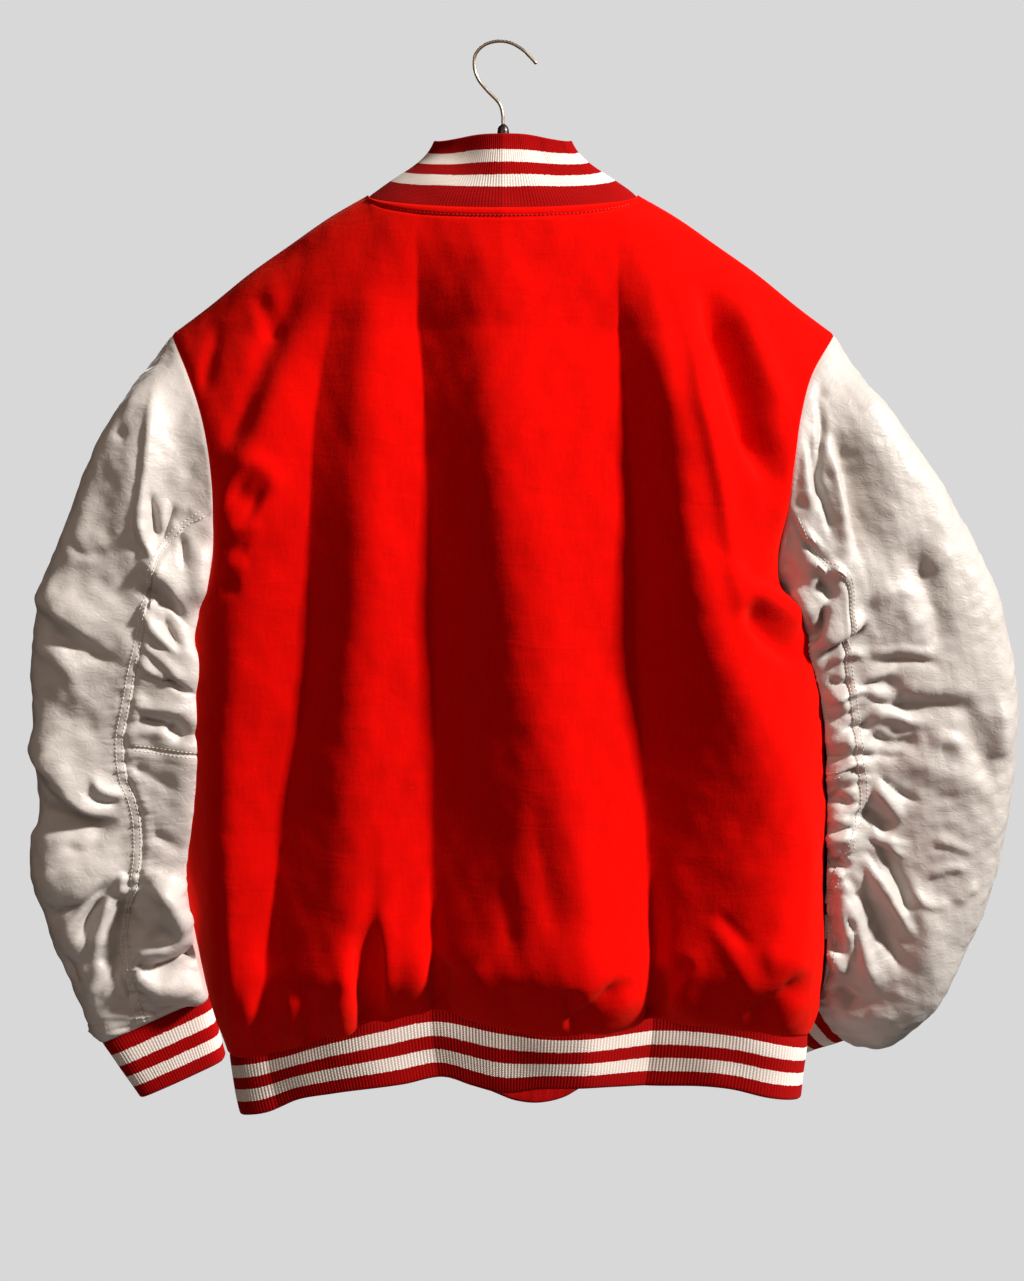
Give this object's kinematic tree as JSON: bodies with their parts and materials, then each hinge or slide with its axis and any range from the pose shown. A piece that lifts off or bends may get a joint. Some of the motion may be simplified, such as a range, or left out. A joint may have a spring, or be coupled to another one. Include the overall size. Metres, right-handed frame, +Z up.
{
  "type": "varsity jacket on a hanger",
  "caption": "Closed varsity jacket with wool body, leather sleeves and striped rib collar, cuffs and hem, hanging on a wooden hanger with a wire hook.",
  "frame": {"origin": "underside of the hook's bend, where the peg or rail carries it", "axes": "+Z up; the wearer's front faces -Y and the wearer's left is +X"},
  "size_m": [0.8494, 0.2362, 0.9119],
  "materials": {
    "red_wool": "brushed melton wool, matt",
    "white_leather": "soft white leather with a low sheen",
    "rib_knit": "one by one rib knit, red with two white stripes",
    "snap_metal": "domed snap caps",
    "hook_wire": "bent round wire, bronze toned",
    "ferrule": "dark turned cap",
    "dark_wood": "stained wood, satin"
  },
  "bodies": {
    "root": {"back": "red_wool", "front_left": "red_wool", "front_right": "red_wool", "collar": "rib_knit", "hem_band": "rib_knit", "cuff_left": "rib_knit", "cuff_right": "rib_knit", "sleeve_left_upper": "white_leather", "sleeve_left_under_top": "white_leather", "sleeve_left_under_low": "white_leather", "sleeve_right_upper": "white_leather", "sleeve_right_under_top": "white_leather", "sleeve_right_under_low": "white_leather", "hanger_hook": "hook_wire", "hanger_ferrule": "ferrule", "hanger_bar": "dark_wood", "snap_1": "snap_metal", "snap_2": "snap_metal", "snap_3": "snap_metal", "snap_4": "snap_metal", "snap_5": "snap_metal", "snap_6": "snap_metal"}
  },
  "joints": []
}
